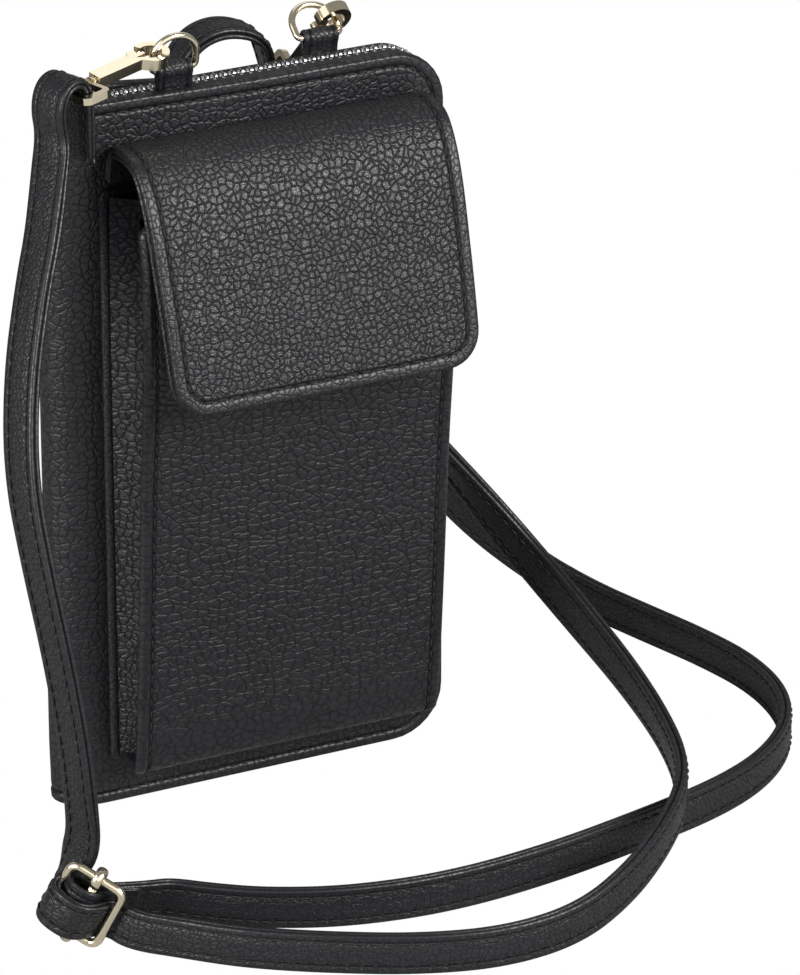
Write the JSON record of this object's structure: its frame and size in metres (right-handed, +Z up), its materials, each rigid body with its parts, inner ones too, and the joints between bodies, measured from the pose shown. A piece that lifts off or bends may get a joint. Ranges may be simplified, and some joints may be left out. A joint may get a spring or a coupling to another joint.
{
  "type": "phone pouch",
  "caption": "Upright zip-round wallet with a flapped phone pocket on its front and a long flat shoulder strap on swivel snap hooks.",
  "frame": {"origin": "midway between the lower edges of the two panels, on the surface that the wallet stands on, at the middle of its width", "axes": "+X across the front to the zip side, +Y to the back, +Z up"},
  "size_m": [0.2247, 0.1955, 0.2039],
  "materials": {
    "leather": "pebbled, semi-matt",
    "lining": "matt",
    "board": "grey fibre board",
    "tape": "woven",
    "teeth": "polished",
    "gold": "pale gold, polished",
    "magnet": "plated"
  },
  "bodies": {
    "wallet": {"cover_leather": "leather", "front_board": "board", "back_board": "board", "lining": "lining", "card_slots": "lining", "note_divider": "lining", "zip_tape_front": "tape", "zip_tape_back": "tape", "zip_teeth_front": "teeth", "zip_teeth_back": "teeth", "zip_stops": "teeth", "pocket_back": "leather", "pocket_front": "leather", "pocket_gusset_left": "leather", "pocket_gusset_right": "leather", "pocket_magnet": "magnet", "tab_front": "leather", "tab_back": "leather", "eye_front": "gold", "eye_back": "gold", "slide_frame": "gold", "slide_bar": "gold", "strap_drop": "leather", "strap_run": "leather", "strap_return": "leather", "strap_loop": "leather"},
    "flap_bridge": {"flap_bridge": "leather"},
    "flap_front": {"flap_leather": "leather", "flap_lining": "leather", "flap_magnet": "magnet"},
    "zip_slider": {"zip_slider": "gold"},
    "zip_puller": {"zip_puller": "gold"},
    "ring_front": {"d_ring_front": "gold"},
    "ring_back": {"d_ring_back": "gold"},
    "hook_front": {"hook_front": "gold", "gate_pin_front": "gold"},
    "gate_front": {"gate_front": "gold"},
    "hook_back": {"hook_back": "gold", "gate_pin_back": "gold"},
    "gate_back": {"gate_back": "gold"}
  },
  "joints": [
    {"name": "flap_lift", "type": "hinge", "parent": "wallet", "child": "flap_bridge", "pos_m": [0.0035, -0.01083, 0.17736], "axis": [-1, 0, 0], "range_deg": [0, 70]},
    {"name": "flap_fold", "type": "hinge", "parent": "flap_bridge", "child": "flap_front", "pos_m": [0.0035, -0.02914, 0.17263], "axis": [-1, 0, 0], "range_deg": [-8, 60], "stiffness_Nm_per_rad": 0.05},
    {"name": "zip_slide", "type": "slide", "parent": "wallet", "child": "zip_slider", "axis": [1, 0, 0], "range_m": [0, 0.074]},
    {"name": "puller_swing", "type": "hinge", "parent": "zip_slider", "child": "zip_puller", "pos_m": [-0.0415, 0, 0.1916], "axis": [0, 1, 0], "range_deg": [0, 100]},
    {"name": "front_ring_swing", "type": "hinge", "parent": "wallet", "child": "ring_front", "pos_m": [-0.0183, -0.004, 0.194], "axis": [1, 0, 0], "range_deg": [-2, 4]},
    {"name": "back_ring_swing", "type": "hinge", "parent": "wallet", "child": "ring_back", "pos_m": [0.0245, 0.004, 0.1926], "axis": [1, 0, 0], "range_deg": [-3, 3]},
    {"name": "front_hook_swivel", "type": "hinge", "parent": "wallet", "child": "hook_front", "pos_m": [-0.04201, -0.01137, 0.19712], "axis": [0.9376, 0.3409, 0.068], "range_deg": [-4, 4]},
    {"name": "front_gate", "type": "hinge", "parent": "hook_front", "child": "gate_front", "pos_m": [-0.03106, -0.00535, 0.19831], "axis": [0.0016, 0.1914, -0.9815], "range_deg": [0, 15], "stiffness_Nm_per_rad": 0.01, "springref_deg": -17.19},
    {"name": "back_hook_swivel", "type": "hinge", "parent": "wallet", "child": "hook_back", "pos_m": [0.02456, 0.01732, 0.17993], "axis": [0.3006, -0.501, 0.8116], "range_deg": [-4, 3]},
    {"name": "back_gate", "type": "hinge", "parent": "hook_back", "child": "gate_back", "pos_m": [0.02643, 0.01076, 0.19046], "axis": [-0.0267, 0.8462, 0.5322], "range_deg": [0, 15], "stiffness_Nm_per_rad": 0.01, "springref_deg": -17.19}
  ]
}
